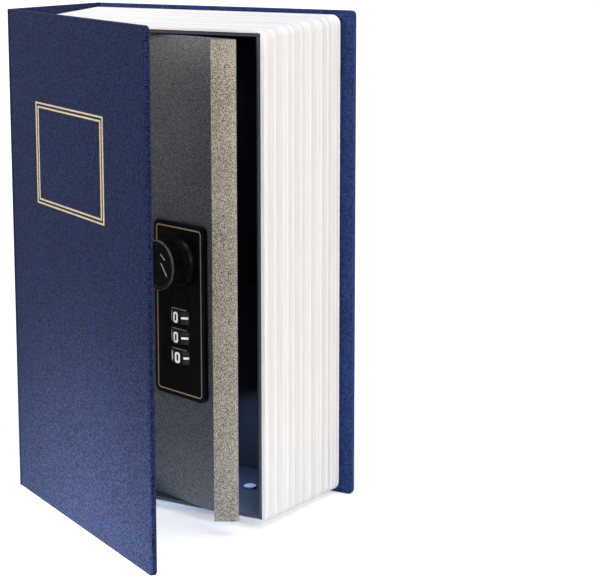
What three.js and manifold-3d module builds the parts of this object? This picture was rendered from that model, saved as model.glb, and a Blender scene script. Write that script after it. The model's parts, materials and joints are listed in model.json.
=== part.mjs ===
// A hardcover book with a folding steel safe inside, standing on its tail edge.
// Millimetres. +X runs from the spine to the fore-edge, +Y to the back cover, +Z from tail to head.
// The origin is the middle of the back cover's tail edge. The front cover and the door stand ajar.

import * as THREE from 'three';
import { mergeVertices } from 'three/addons/utils/BufferGeometryUtils.js';
import Module from 'manifold-3d';

const wasm = await Module();
wasm.setup();

// Fits
const seat = 0.3; // between pieces that rest on each other
const paste = 0.1; // between the glued layers of a cover

// Book case
const bookWidth = 115;
const bookHeight = 180;
const clothThickness = 0.35;
const boardThickness = 1.4;
const turnIn = 14; // cloth folded over onto the inside of a board
const endpaperThickness = 0.2;
const endpaperMargin = 3;
const coverThickness = 2 * (clothThickness + paste) + boardThickness;
const coverOpen = THREE.MathUtils.degToRad(29.2);

// Page frame: the squares are how far the covers stand out past it
const blockDepth = 50.4; // rim to the back cover
const headSquareFront = 4.6;
const headSquareBack = 1.4;
const tailSquareFront = 2;
const tailSquareBack = 1.4;
const foreSquareFront = 6.8;
const foreSquareBack = 4.7;
const blockCornerRadius = 3.2;
const cornerSteps = 4;
const rimWall = 1.55;
const headRimWall = 0.9;
const spineWall = 1.5;
const smoothRim = 2.2; // the plain band beside the rim
// The ribs from the rim to the back cover
const ribWidths = [4.9, 5.7, 2.4, 3.7, 5.4, 3.5, 2.4, 5, 2.5, 4.5, 3.2, 2.5, 2.2];
const ribDepth = 0.3;
const fullRibWidth = 4; // a rib narrower than this has a shallower groove
const hingeNotchDepth = 3;
const hingeNotchEnd = 9;

// Steel box
const sheet = 0.9;
const bendRadius = 1.1; // on the middle of the sheet
const boxRecess = 0.5; // box edge below the rim
const hemLength = 7;
const hemInside = 0.1; // radius inside the hem's fold
const linerThickness = 1.2;

// Hinge of the door
const doorAxisDepth = 6; // below the rim
const pinRadius = 0.6;
const pinClearance = 0.3;
const curlRadius = pinRadius + pinClearance + sheet;
const curlClearance = 0.5;
const knuckleCount = 6;
const knuckleGap = 0.4;

// Door, measured from its axis towards the fore-edge and inwards
const doorSideClearance = 0.5;
const doorOpen = THREE.MathUtils.degToRad(11.9);
const panelWidth = 53.5; // the flat part that carries the lock, up to the fold
const stepWidth = 15.5;
const stepBottom = 10.3;
const foldClearance = 0.45; // box wall to the sharp corner of the fold
const foldDepth = 4.9;
const lipLength = 9.6;
const lipAngle = THREE.MathUtils.degToRad(-141);
const flangeDepth = 8.7;
const flangeTaper = 1.5;
const flangeStart = 3.4;
const wheelHoleClearance = 0.6;

// Lock, measured from the knob's axis on the outer face of the door panel
const lockFromFold = 29.3; // knob axis to the sharp corner of the fold
const lockHeight = 93.7; // knob axis above the tail
const plateWidth = 28.1;
const plateShift = -1.55; // plate's middle towards the fore-edge from the knob axis
const plateTop = 13.5;
const plateLength = 62.9;
const plateThickness = 1.6;
const plateCorner = 2.4;
const platePocketRoof = 0.6; // what is left of the plate in front of the wheels
const knobFaceRadius = 9;
const knobNeckRadius = 8.1;
const knobSkirtRadius = 8.7;
const knobHeight = 10.4;
const knobGripHeight = 5.2;
const knobSkirtHeight = 2.4;
const knobChamfer = 0.7;
const knurlCount = 44;
const knurlDepth = 0.35;
const spindleRadius = 2.5;
const spindleGrip = 6; // how far the spindle reaches into the knob
const spindleEndRadius = 1.5;
const boltReach = 12.5; // end of the drawn-back bolt from the knob axis
const discRadius = 7.4;
const discChamfer = 0.5;
const discThickness = 1.3;
const ringWidth = 1.8;
const ringHeight = 1.2;
const bodyHalfWidth = 11;
const bodyTail = -46;
const bodyDepth = 12.8;
const backCoverThickness = 0.9;
const backCoverTail = -33;
const backCoverHead = -11.5;
const backCoverMargin = 1.4;
const backCoverCorner = 0.8;
const headPlateTail = -8.5;
const slotCount = 6;
const slotPitch = 2.8;
const slotHeight = 1.2;
const slotLength = 2.6;
const slotMargin = 1.2; // slots from the back cover's edge
const slotCorner = 0.3;
const wheelRadius = 6.4;
const wheelWidth = 4.7;
const wheelPitch = 7.25;
const wheelOffset = plateShift; // the wheels stand on the plate's middle line
const wheelMiddle = -27.3;
const wheelProud = 1.8; // wheel's front above the plate's face
const wheelNotch = 0.35;
const wheelFaces = 10;
const axleRadius = 1.4;
const axleEnd = 3.6; // how far the axle reaches into the lock body
const windowHeight = 5.3;
const windowCorner = 0.6;
const springThickness = 0.4;
const springSpine = 2;
const boltHeight = 11;
const boltThickness = 3;
const boltDepth = 3.5; // front of the bolt below the panel's outer face
const boltBack = -9.5;
const leverWidth = 2.5;
const leverLength = 2;
const leverThrow = 3;
const leverMargin = 9; // lever's tail above the tail of the lock body
const leverShift = 1.5;
const leverProud = 1;
const clampSheet = 1.2;
const clampStand = 3.4; // fork's back above the panel
const clampReach = 5.2; // how far the fork stands out past the tail of the lock body
const clampArm = 7;
const clampArmWidth = 2.4;
const clampSlotMargin = 1.4;
const clampSlotHalf = 8;
const clampPinRadius = 0.9;
const studMargin = 3.4; // studs past the ends of the fork's arms
const studRadius = 1.4;
const studHeadRadius = 2;
const studHeadHeight = 1.8;

// Strike and rivets
const strikeDepth = 13.5; // front of the strike below the rim
const strikeLip = 11.95; // tip of the strike from its own leg
const strikeLeg = 14.5;
const strikeHeight = 19;
const strikeRivetSpread = 10.4;
const strikeRivetDepth = 21;
const rivetShank = 1.5;
const rivetHead = 2.9;
const rivetHeadHeight = 1;
const rivetGrip = 0.9; // how far a rivet reaches into the page frame
const boxRivetFromSpine = 18.3;
const boxRivetFromFore = 29.4;
const spineRivetDepth = 27.4; // below the rim
const foreRivetDepth = 25.8;

// Places that follow from the sizes
const spineX = -bookWidth / 2;
const foreX = bookWidth / 2;
const backInnerY = -coverThickness / 2;
const rimY = backInnerY - blockDepth;
const coverGap = paste + endpaperThickness + seat;
const coverAxis = new THREE.Vector2(spineX + coverThickness / 2, rimY - coverGap - coverThickness / 2);
const jointRadius = coverThickness / 2;
const coverStart = jointRadius + seat;
const coverReach = bookWidth - jointRadius;
const frameSpineX = spineX + coverThickness + seat;
const frameBackY = backInnerY - seat;
const holeSpineX = frameSpineX + spineWall;
const holeForeX = foreX - foreSquareFront - rimWall;
const holeTailZ = tailSquareFront + rimWall;
const holeHeadZ = bookHeight - headSquareFront - headRimWall;
const boxSpineX = holeSpineX + seat;
const boxForeX = holeForeX - seat;
const boxTailZ = holeTailZ + seat;
const boxHeadZ = holeHeadZ - seat;
const boxFrontY = rimY + boxRecess;
const boxRivetPlaces = [
  [spineX + boxRivetFromSpine, rimY + spineRivetDepth],
  [foreX - boxRivetFromFore, rimY + foreRivetDepth],
];
const doorAxis = new THREE.Vector2(boxSpineX + curlRadius, rimY + doorAxisDepth);
const doorTailZ = boxTailZ + sheet + doorSideClearance;
const doorHeadZ = boxHeadZ - sheet - doorSideClearance;
const foldReach = boxForeX - sheet - foldClearance - doorAxis.x; // sharp corner of the fold
const stripWidth = foldReach - panelWidth - stepWidth;
const panelTop = stepBottom + sheet / 2;
const panelSlope = Math.atan2(stepBottom - foldDepth, panelWidth);
const lockReach = foldReach - lockFromFold; // door axis to knob axis
const lockPoint = new THREE.Vector2(lockReach, foldDepth + lockFromFold * Math.tan(panelSlope));
const panelBack = sheet + seat; // where pieces behind the panel start
const bodyBack = panelBack + bodyDepth;
const backCoverBack = bodyBack + seat + backCoverThickness;
const axleDepth = wheelRadius - wheelProud - seat - plateThickness;

// Solids
function toSolid(geometry) {
  const bare = geometry.clone();
  bare.deleteAttribute('normal');
  bare.deleteAttribute('uv');
  const welded = mergeVertices(bare, 1e-4);
  const index = welded.index.array;
  const faces = [];
  for (let i = 0; i < index.length; i += 3) {
    const [a, b, c] = [index[i], index[i + 1], index[i + 2]];
    if (a !== b && b !== c && c !== a) faces.push(a, b, c);
  }
  if (signedVolume(welded.attributes.position, faces) < 0) faces.reverse();
  const mesh = new wasm.Mesh({
    numProp: 3,
    vertProperties: new Float32Array(welded.attributes.position.array),
    triVerts: new Uint32Array(faces),
  });
  mesh.merge();
  return new wasm.Manifold(mesh);
}

function signedVolume(position, faces) {
  const corner = [new THREE.Vector3(), new THREE.Vector3(), new THREE.Vector3()];
  let volume = 0;
  for (let i = 0; i < faces.length; i += 3) {
    corner.forEach((point, k) => point.fromBufferAttribute(position, faces[i + k]));
    volume += corner[0].dot(corner[1].clone().cross(corner[2])) / 6;
  }
  return volume;
}

function toGeometry(solid) {
  const { numProp, vertProperties, triVerts } = solid.getMesh();
  const geometry = new THREE.BufferGeometry();
  const positions = new Float32Array((vertProperties.length / numProp) * 3);
  for (let i = 0; i < positions.length / 3; i += 1) {
    positions.set(vertProperties.subarray(i * numProp, i * numProp + 3), i * 3);
  }
  geometry.setAttribute('position', new THREE.BufferAttribute(positions, 3));
  geometry.setIndex(new THREE.BufferAttribute(new Uint32Array(triVerts), 1));
  geometry.computeVertexNormals();
  return geometry;
}

// Joins the first list and takes the second list away from it.
function build(joined, cuts = []) {
  let solid = toSolid(joined[0]);
  joined.slice(1).forEach((piece) => { solid = solid.add(toSolid(piece)); });
  cuts.forEach((piece) => { solid = solid.subtract(toSolid(piece)); });
  return toGeometry(solid);
}

function slab(low, high) {
  const size = high.map((value, axis) => value - low[axis]);
  return new THREE.BoxGeometry(...size).translate(...low.map((value, axis) => value + size[axis] / 2));
}

// A flat outline carried upwards from one height to another.
function prism(shape, bottom, top, curveSegments = 6) {
  const settings = { depth: top - bottom, bevelEnabled: false, curveSegments };
  return new THREE.ExtrudeGeometry(shape, settings).translate(0, 0, bottom);
}

// An outline drawn across and up, carried from one depth to a deeper one.
function plate(shape, front, back, curveSegments = 6) {
  return prism(shape, 0, back - front, curveSegments).rotateX(Math.PI / 2).translate(0, back, 0);
}

function outline(points) {
  return new THREE.Shape(points.map(([x, y]) => new THREE.Vector2(x, y)));
}

function circle(radius, x = 0, y = 0) {
  return new THREE.Shape().absarc(x, y, radius, 0, 2 * Math.PI);
}

function roundedRectangle(left, right, bottom, top, radius) {
  const shape = new THREE.Shape();
  shape.moveTo(right, top - radius);
  shape.absarc(right - radius, top - radius, radius, 0, Math.PI / 2);
  shape.absarc(left + radius, top - radius, radius, Math.PI / 2, Math.PI);
  shape.absarc(left + radius, bottom + radius, radius, Math.PI, 1.5 * Math.PI);
  shape.absarc(right - radius, bottom + radius, radius, 1.5 * Math.PI, 2 * Math.PI);
  return shape;
}

function stepFrom(point, angle, distance) {
  return new THREE.Vector2(Math.cos(angle), Math.sin(angle)).multiplyScalar(distance).add(point);
}

// The cross-section of a sheet bent along a line through its middle.
function bentSheet(corners, thickness, radius, bendSteps = 4) {
  const middle = corners.map(([x, y]) => new THREE.Vector2(x, y));
  const left = [];
  const right = [];
  const add = (point, angle) => {
    left.push(stepFrom(point, angle + Math.PI / 2, thickness / 2));
    right.push(stepFrom(point, angle - Math.PI / 2, thickness / 2));
  };
  const heading = (i) => middle[i + 1].clone().sub(middle[i]).angle();
  add(middle[0], heading(0));
  for (let i = 1; i < middle.length - 1; i += 1) {
    const before = heading(i - 1);
    const turn = THREE.MathUtils.euclideanModulo(heading(i) - before + Math.PI, 2 * Math.PI) - Math.PI;
    const side = Math.sign(turn) * radius;
    const reach = radius * Math.tan(Math.abs(turn) / 2);
    const centre = stepFrom(stepFrom(middle[i], before, -reach), before + Math.PI / 2, side);
    for (let step = 0; step <= bendSteps; step += 1) {
      const angle = before + (turn * step) / bendSteps;
      add(stepFrom(centre, angle - Math.PI / 2, side), angle);
    }
  }
  add(middle[middle.length - 1], heading(middle.length - 2));
  return new THREE.Shape([...left, ...right.reverse()]);
}

// Skins a row of outlines that all have the same number of points.
function loft(sections) {
  const count = sections[0].length;
  const index = [];
  for (let row = 0; row < sections.length - 1; row += 1) {
    for (let i = 0; i < count; i += 1) {
      const a = row * count + i;
      const b = row * count + ((i + 1) % count);
      index.push(a, b, b + count, a, b + count, a + count);
    }
  }
  const last = (sections.length - 1) * count;
  for (let i = 1; i < count - 1; i += 1) {
    index.push(0, i + 1, i, last, last + i, last + i + 1);
  }
  const geometry = new THREE.BufferGeometry().setFromPoints(sections.flat());
  geometry.setIndex(index);
  return geometry;
}

function turned(profile, sides) {
  return new THREE.LatheGeometry(profile.map(([x, y]) => new THREE.Vector2(x, y)), sides);
}

function tube(outer, inner, bottom, top, curveSegments) {
  const shape = circle(outer);
  shape.holes.push(circle(inner));
  return prism(shape, bottom, top, curveSegments);
}

function metal(color, roughness) {
  return new THREE.MeshStandardMaterial({ color, roughness, metalness: 0.8 });
}

function dull(color, roughness) {
  return new THREE.MeshStandardMaterial({ color, roughness, metalness: 0 });
}

const finish = {
  cloth: () => dull(0x1b2550, 0.85),
  board: () => dull(0x9a938a, 0.9),
  paper: () => dull(0xe9edf4, 0.8),
  pages: () => dull(0xfbf6f0, 0.55),
  steel: () => metal(0x4e555b, 0.5),
  zinc: () => metal(0xd9d8d2, 0.35),
  yellowZinc: () => metal(0xa8772f, 0.4),
  blackMetal: () => metal(0x17181b, 0.45),
  blackPlastic: () => dull(0x141416, 0.4),
  felt: () => dull(0x15161c, 0.95),
};

function part(name, geometry, material) {
  const mesh = new THREE.Mesh(geometry, material());
  mesh.name = name;
  return mesh;
}

// One cover board with its cloth. It starts beside its joint at x = 0, its outer face is y = 0,
// and the cloth is turned in round its head, tail and, on a cover, its free edge.
function wrappedBoard(name, width, hasFreeEdge) {
  const skin = clothThickness;
  const pocket = skin + paste;
  const margin = 1; // the cuts run past the cloth's open edges by this
  const openEnd = hasFreeEdge ? width - skin : width + margin;
  const windowEnd = hasFreeEdge ? width - turnIn : width + margin;
  const cloth = build(
    [slab([0, 0, 0], [width, coverThickness, bookHeight])],
    [
      slab([-margin, skin, skin], [openEnd, coverThickness - skin, bookHeight - skin]),
      slab([-margin, skin, turnIn], [windowEnd, coverThickness + margin, bookHeight - turnIn]),
    ],
  );
  const board = slab(
    [0, pocket, pocket],
    [hasFreeEdge ? width - pocket : width, pocket + boardThickness, bookHeight - pocket],
  );
  const group = new THREE.Group();
  group.add(part(`${name}_cloth`, cloth, finish.cloth), part(`${name}_board`, board, finish.board));
  return group;
}

function clothJoint(name, x, y) {
  const joint = part(name, prism(circle(jointRadius), 0, bookHeight, 16), finish.cloth);
  joint.position.set(x, y, 0);
  return joint;
}

function frontCover() {
  const group = new THREE.Group();
  const panel = wrappedBoard('front_cover', coverReach - coverStart, true);
  panel.position.set(coverStart, -coverThickness / 2, 0);
  const paperY = coverThickness / 2 + paste;
  const paper = slab(
    [coverStart, paperY, endpaperMargin],
    [coverReach - endpaperMargin, paperY + endpaperThickness, bookHeight - endpaperMargin],
  );
  group.add(panel, part('front_endpaper', paper, finish.paper));
  group.position.set(coverAxis.x, coverAxis.y, 0);
  group.rotation.z = -coverOpen;
  return group;
}

function spineAndBack() {
  const group = new THREE.Group();
  const spineStart = coverAxis.y + jointRadius + seat;
  const spineWidth = -jointRadius - seat - spineStart;
  const spine = wrappedBoard('spine', spineWidth, false);
  spine.rotation.z = -Math.PI / 2;
  spine.position.set(spineX, spineStart + spineWidth, 0);
  const back = wrappedBoard('back_cover', coverReach - coverStart, true);
  back.rotation.x = Math.PI;
  back.position.set(coverAxis.x + coverStart, coverThickness / 2, bookHeight);
  group.add(spine, back);
  group.add(clothJoint('front_joint_cloth', coverAxis.x, coverAxis.y));
  group.add(clothJoint('back_joint_cloth', coverAxis.x, 0));
  return group;
}

// One outline of the page frame at a depth, drawn in by the rib's height on its three open sides.
function frameSection(depth, inset) {
  const share = depth / (blockDepth - seat);
  const fore = foreX - THREE.MathUtils.lerp(foreSquareFront, foreSquareBack, share) - inset;
  const head = bookHeight - THREE.MathUtils.lerp(headSquareFront, headSquareBack, share) - inset;
  const tail = THREE.MathUtils.lerp(tailSquareFront, tailSquareBack, share) + inset;
  const shape = new THREE.Shape();
  shape.moveTo(frameSpineX, tail);
  shape.lineTo(fore - blockCornerRadius, tail);
  shape.absarc(fore - blockCornerRadius, tail + blockCornerRadius, blockCornerRadius, -Math.PI / 2, 0);
  shape.absarc(fore - blockCornerRadius, head - blockCornerRadius, blockCornerRadius, 0, Math.PI / 2);
  shape.lineTo(frameSpineX, head);
  const points = shape.extractPoints(cornerSteps).shape;
  return points.map(({ x, y }) => new THREE.Vector3(x, rimY + depth, y));
}

function pageFrame() {
  const depth = blockDepth - seat;
  const stretch = (depth - smoothRim) / ribWidths.reduce((sum, width) => sum + width);
  const sections = [frameSection(0, 0), frameSection(smoothRim, 0)];
  let crest = smoothRim;
  ribWidths.forEach((ribWidth) => {
    const width = ribWidth * stretch;
    const groove = ribDepth * Math.min(1, ribWidth / fullRibWidth);
    sections.push(frameSection(crest + width / 2, groove), frameSection(crest + width, 0));
    crest += width;
  });
  const past = 2; // the hole runs past the frame's ends by this
  const hole = slab([holeSpineX, rimY - past, holeTailZ], [holeForeX, past, holeHeadZ]);
  const notch = slab(
    [frameSpineX - past, rimY - past, hingeNotchEnd],
    [holeSpineX + past, rimY + hingeNotchDepth, bookHeight - hingeNotchEnd],
  );
  const boxHoles = boxRivetPlaces.map(([x, y]) => prism(
    circle(rivetShank + seat, x, y),
    holeTailZ - rivetGrip - seat,
    holeHeadZ + rivetGrip + seat,
    16,
  ));
  const strikeHoles = strikeRivetHeights().map((height) => slab(
    [holeForeX - past, rimY + strikeRivetDepth - rivetShank - seat, height - rivetShank - seat],
    [holeForeX + rivetGrip + seat, rimY + strikeRivetDepth + rivetShank + seat, height + rivetShank + seat],
  ));
  const cuts = [hole, notch, ...boxHoles, ...strikeHoles];
  return part('page_frame', build([loft(sections)], cuts), finish.pages);
}

function strikeRivetHeights() {
  return [lockHeight - strikeRivetSpread / 2, lockHeight + strikeRivetSpread / 2];
}

// The knuckles share the hinge's length in turn, starting with one on the box.
function knuckleSpans(first) {
  const pitch = (doorHeadZ - doorTailZ) / knuckleCount;
  const spans = [];
  for (let i = first; i < knuckleCount; i += 2) {
    spans.push([doorTailZ + i * pitch + knuckleGap / 2, doorTailZ + (i + 1) * pitch - knuckleGap / 2]);
  }
  return spans;
}

function curl(bottom, top) {
  return tube(curlRadius, curlRadius - sheet, bottom, top, 16);
}

function boxTray() {
  const wallX = boxForeX - sheet / 2;
  const hemBend = sheet / 2 + hemInside;
  const hemX = wallX - 2 * hemBend - hemInside;
  const floorY = frameBackY - sheet / 2;
  const spineWallX = boxSpineX + sheet / 2;
  const section = bentSheet(
    [
      [hemX, boxFrontY + hemLength],
      [hemX, boxFrontY + sheet / 2],
      [wallX, boxFrontY + sheet / 2],
      [wallX, floorY],
      [spineWallX, floorY],
      [spineWallX, doorAxis.y],
    ],
    sheet,
    hemBend,
  );
  const ends = [boxTailZ, boxHeadZ - sheet].map((bottom) => slab(
    [boxSpineX, boxFrontY, bottom],
    [boxForeX, frameBackY, bottom + sheet],
  ));
  const curls = knuckleSpans(0).map(([low, high]) => curl(low, high).translate(doorAxis.x, doorAxis.y, 0));
  const past = 2; // the cuts run past the sheet by this
  const gaps = knuckleSpans(1).map(([low, high]) => slab(
    [boxSpineX - past, boxFrontY - past, low - knuckleGap],
    [boxSpineX + sheet + past, doorAxis.y + curlRadius + curlClearance, high + knuckleGap],
  ));
  const rivetHoles = boxRivetPlaces.map(([x, y]) => prism(
    circle(rivetShank + seat, x, y),
    boxTailZ - past,
    boxHeadZ + past,
    16,
  ));
  const strikeHoles = strikeRivetHeights().map((height) => slab(
    [boxForeX - sheet - past / 2, rimY + strikeRivetDepth - rivetShank - seat, height - rivetShank - seat],
    [boxForeX + past, rimY + strikeRivetDepth + rivetShank + seat, height + rivetShank + seat],
  ));
  const cuts = [...gaps, ...rivetHoles, ...strikeHoles];
  const walls = build([prism(section, boxTailZ, boxHeadZ), ...ends], cuts);
  return part('box_tray', build([walls, ...curls]), finish.steel);
}

// A rivet through some layers of sheet, with its head's flat underside at y = 0 and its shank below.
function rivet(name, layers) {
  const length = layers * (seat + sheet) + seat + rivetGrip;
  const dome = [0.5, 0.85, 1].map((share) => {
    const angle = (share * Math.PI) / 2;
    return [rivetHead * Math.cos(angle), rivetHeadHeight * Math.sin(angle)];
  });
  const profile = [[0, -length], [rivetShank, -length], [rivetShank, 0], [rivetHead, 0], ...dome];
  profile[profile.length - 1][0] = 0;
  return part(name, toGeometry(toSolid(turned(profile, 16))), finish.zinc);
}

function boxRivets() {
  const rivets = [];
  const ends = [
    [boxTailZ + sheet + seat, Math.PI / 2],
    [boxHeadZ - sheet - seat, -Math.PI / 2],
  ];
  ends.forEach(([height, tilt]) => {
    boxRivetPlaces.forEach(([x, y]) => {
      const piece = rivet(`box_rivet_${rivets.length + 1}`, 1);
      piece.rotation.x = tilt;
      piece.position.set(x, y, height);
      rivets.push(piece);
    });
  });
  return rivets;
}

function strike() {
  const faceX = boxForeX - sheet - seat;
  const lipY = rimY + strikeDepth + sheet / 2;
  const section = bentSheet(
    [[faceX - strikeLip, lipY], [faceX - sheet / 2, lipY], [faceX - sheet / 2, lipY + strikeLeg]],
    sheet,
    bendRadius,
  );
  const holes = strikeRivetHeights().map((height) => slab(
    [faceX - 2 * sheet, rimY + strikeRivetDepth - rivetShank - seat, height - rivetShank - seat],
    [faceX + sheet, rimY + strikeRivetDepth + rivetShank + seat, height + rivetShank + seat],
  ));
  const bracket = build(
    [prism(section, lockHeight - strikeHeight / 2, lockHeight + strikeHeight / 2)],
    holes,
  );
  const pieces = [part('strike_bracket', bracket, finish.zinc)];
  strikeRivetHeights().forEach((height, i) => {
    const piece = rivet(`strike_rivet_${i + 1}`, 2);
    piece.rotation.z = Math.PI / 2;
    piece.position.set(faceX - sheet - seat, rimY + strikeRivetDepth, height);
    pieces.push(piece);
  });
  return pieces;
}

function hingePin() {
  const pin = part('hinge_pin', prism(circle(pinRadius), doorTailZ, doorHeadZ, 12), finish.zinc);
  pin.position.set(doorAxis.x, doorAxis.y, 0);
  return pin;
}

function floorLiner() {
  const back = frameBackY - sheet - seat;
  const geometry = slab(
    [boxSpineX + sheet + bendRadius, back - linerThickness, boxTailZ + sheet + seat],
    [boxForeX - sheet - bendRadius, back, boxHeadZ - sheet - seat],
  );
  return part('floor_liner', geometry, finish.felt);
}

// Moves a piece from the lock's place to the door's.
function onPanel(geometry) {
  return geometry.rotateZ(-panelSlope).translate(lockPoint.x, lockPoint.y, lockHeight);
}

function wheelHeights() {
  return [wheelMiddle + wheelPitch, wheelMiddle, wheelMiddle - wheelPitch];
}

// Half of a wheel's width where a plane at this depth cuts it.
function wheelHalfChord(depth) {
  return Math.sqrt(wheelRadius ** 2 - (axleDepth - depth) ** 2);
}

function doorPanel() {
  const stripY = sheet / 2 - curlRadius;
  const section = bentSheet(
    [
      [curlRadius + curlClearance, stripY],
      [stripWidth, stripY],
      [stripWidth + stepWidth, panelTop],
      [foldReach, foldDepth + sheet / 2],
      [foldReach + lipLength * Math.cos(lipAngle), foldDepth + lipLength * Math.sin(lipAngle)],
    ],
    sheet,
    bendRadius,
    5,
  );
  const flange = outline([
    [flangeStart, stripY],
    [stripWidth - flangeTaper, stripY],
    [stripWidth - 2 * flangeTaper, stripY + flangeDepth],
    [flangeStart + flangeTaper, stripY + flangeDepth],
  ]);
  const flanges = [doorTailZ, doorHeadZ - sheet].map((bottom) => prism(flange, bottom, bottom + sheet));
  const knuckles = knuckleSpans(1).flatMap(([low, high]) => [
    curl(low, high),
    slab([0, -curlRadius, low], [curlRadius + 2 * curlClearance, sheet - curlRadius, high]),
  ]);
  const past = 3; // the holes run past the sheet by this
  const half = wheelHalfChord(sheet) + wheelHoleClearance;
  const wheelHole = slab(
    [wheelOffset - half, -past, wheelMiddle - 1.5 * wheelPitch],
    [wheelOffset + half, past, wheelMiddle + 1.5 * wheelPitch],
  );
  const spindleHole = plate(circle(spindleRadius + 3 * seat), -past, past, 20);
  const solid = build(
    [prism(section, doorTailZ, doorHeadZ), ...flanges, ...knuckles],
    [onPanel(wheelHole), onPanel(spindleHole)],
  );
  return part('door_panel', solid, finish.steel);
}

function lockPlate() {
  const left = plateShift - plateWidth / 2;
  const shape = roundedRectangle(left, left + plateWidth, plateTop - plateLength, plateTop, plateCorner);
  shape.holes.push(circle(spindleRadius + 2 * seat));
  const pocketFront = platePocketRoof - seat - plateThickness;
  const windowHalf = wheelHalfChord(pocketFront) + seat;
  wheelHeights().forEach((height) => {
    shape.holes.push(roundedRectangle(
      wheelOffset - windowHalf,
      wheelOffset + windowHalf,
      height - windowHeight / 2,
      height + windowHeight / 2,
      windowCorner,
    ));
  });
  const pocketHalf = wheelHalfChord(-seat) + 2 * seat;
  const pocket = slab(
    [wheelOffset - pocketHalf, pocketFront, wheelMiddle - wheelPitch - windowHeight / 2],
    [wheelOffset + pocketHalf, plateThickness, wheelMiddle + wheelPitch + windowHeight / 2],
  );
  const geometry = build([plate(shape, -seat - plateThickness, -seat, 5)], [pocket]);
  return part('lock_plate', geometry, finish.blackMetal);
}

// The lock's outline from behind: square at the tail, round at the head.
function lockOutline(tail) {
  const shape = new THREE.Shape();
  shape.moveTo(-bodyHalfWidth, tail);
  shape.lineTo(bodyHalfWidth, tail);
  shape.absarc(0, 0, bodyHalfWidth, 0, Math.PI);
  return shape;
}

function lockBody() {
  const past = 2; // the cuts run past the body by this
  const reach = wheelRadius + seat;
  const spread = wheelPitch + wheelWidth / 2 + 2 * seat;
  const wheelRoom = slab(
    [wheelOffset - reach, 0, wheelMiddle - spread],
    [wheelOffset + reach, bodyBack + past, wheelMiddle + spread],
  );
  const axleRoom = slab(
    [wheelOffset - axleRadius - seat, 0, wheelMiddle - spread - axleEnd - seat],
    [wheelOffset + axleRadius + seat, axleDepth + axleRadius + seat, wheelMiddle + spread + axleEnd + seat],
  );
  const boltRoom = slab(
    [boltBack - seat, boltDepth - seat, -boltHeight / 2 - seat],
    [bodyHalfWidth + past, boltDepth + boltThickness + seat, boltHeight / 2 + seat],
  );
  const spindleRoom = plate(circle(spindleRadius + seat), -past, bodyBack + past, 20);
  const solid = build(
    [plate(lockOutline(bodyTail), panelBack, bodyBack, 16)],
    [wheelRoom, axleRoom, boltRoom, spindleRoom],
  );
  return part('lock_body', solid, finish.blackMetal);
}

function lockBackCover() {
  const half = bodyHalfWidth - backCoverMargin;
  const shape = roundedRectangle(-half, half, backCoverTail, backCoverHead, backCoverCorner);
  const slotLeft = slotMargin - half;
  const slotRight = slotLeft + slotLength;
  for (let i = 0; i < slotCount; i += 1) {
    const low = backCoverTail + slotPitch * (i + 1);
    shape.holes.push(roundedRectangle(slotLeft, slotRight, low, low + slotHeight, slotCorner));
  }
  const lever = leverPlace();
  const past = 2; // the notch runs past the cover by this
  const notch = slab(
    [lever.left - seat, bodyBack, backCoverTail - past],
    [lever.left + leverWidth + seat, backCoverBack + past, lever.tail + leverLength + leverThrow + seat],
  );
  const geometry = build([plate(shape, bodyBack + seat, backCoverBack, 2)], [notch]);
  return part('lock_back_cover', geometry, finish.yellowZinc);
}

function headPlate() {
  const shape = lockOutline(headPlateTail);
  shape.holes.push(circle(spindleRadius + seat));
  return part('lock_head_plate', plate(shape, bodyBack + seat, backCoverBack, 16), finish.yellowZinc);
}

function spindleRing() {
  const inner = discRadius + seat;
  const outer = inner + ringWidth;
  const front = backCoverBack + seat;
  const profile = [
    [inner, front], [outer, front], [outer, front + ringHeight / 3],
    [inner + ringWidth / 3, front + ringHeight], [inner, front + ringHeight], [inner, front],
  ];
  return part('spindle_ring', toGeometry(toSolid(turned(profile, 32))), finish.zinc);
}

function wheelAxle() {
  const spread = wheelPitch + wheelWidth / 2 + 2 * seat + axleEnd;
  const axle = part('wheel_axle', prism(circle(axleRadius), -spread, spread, 14), finish.zinc);
  axle.position.set(wheelOffset, axleDepth, wheelMiddle);
  return axle;
}

// Numbered faces with a finger notch between each two.
function numberWheel(name, height) {
  const stepsPerFace = 3;
  const spacing = 0.4; // of a face's width, between the points along it
  const faceAngle = (2 * Math.PI) / wheelFaces;
  const points = [];
  for (let face = 0; face < wheelFaces; face += 1) {
    points.push([wheelRadius - wheelNotch, (face + 0.5) * faceAngle]);
    for (let step = 0; step < stepsPerFace; step += 1) {
      const share = 1 + (step - (stepsPerFace - 1) / 2) * spacing;
      points.push([wheelRadius, (face + share) * faceAngle]);
    }
  }
  const corners = points.map(([radius, angle]) => [radius * Math.sin(angle), -radius * Math.cos(angle)]);
  const shape = outline(corners);
  shape.holes.push(circle(axleRadius + seat));
  const wheel = part(name, prism(shape, -wheelWidth / 2, wheelWidth / 2, 14), finish.blackPlastic);
  wheel.position.set(wheelOffset, axleDepth, height);
  return wheel;
}

// A comb of spring steel, with a finger on the back of each wheel.
function detentSpring() {
  const front = axleDepth + wheelRadius + seat;
  const right = wheelOffset + wheelRadius;
  const spine = slab(
    [right - springSpine, front, wheelMiddle - wheelPitch - wheelWidth / 2],
    [right, front + springThickness, wheelMiddle + wheelPitch + wheelWidth / 2],
  );
  const fingers = wheelHeights().map((height) => slab(
    [wheelOffset - springSpine, front, height - wheelWidth / 4],
    [right - springSpine / 2, front + springThickness, height + wheelWidth / 4],
  ));
  return part('detent_spring', build([spine, ...fingers]), finish.zinc);
}

function leverPlace() {
  return { left: wheelOffset - leverShift, tail: bodyTail + leverMargin };
}

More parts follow.
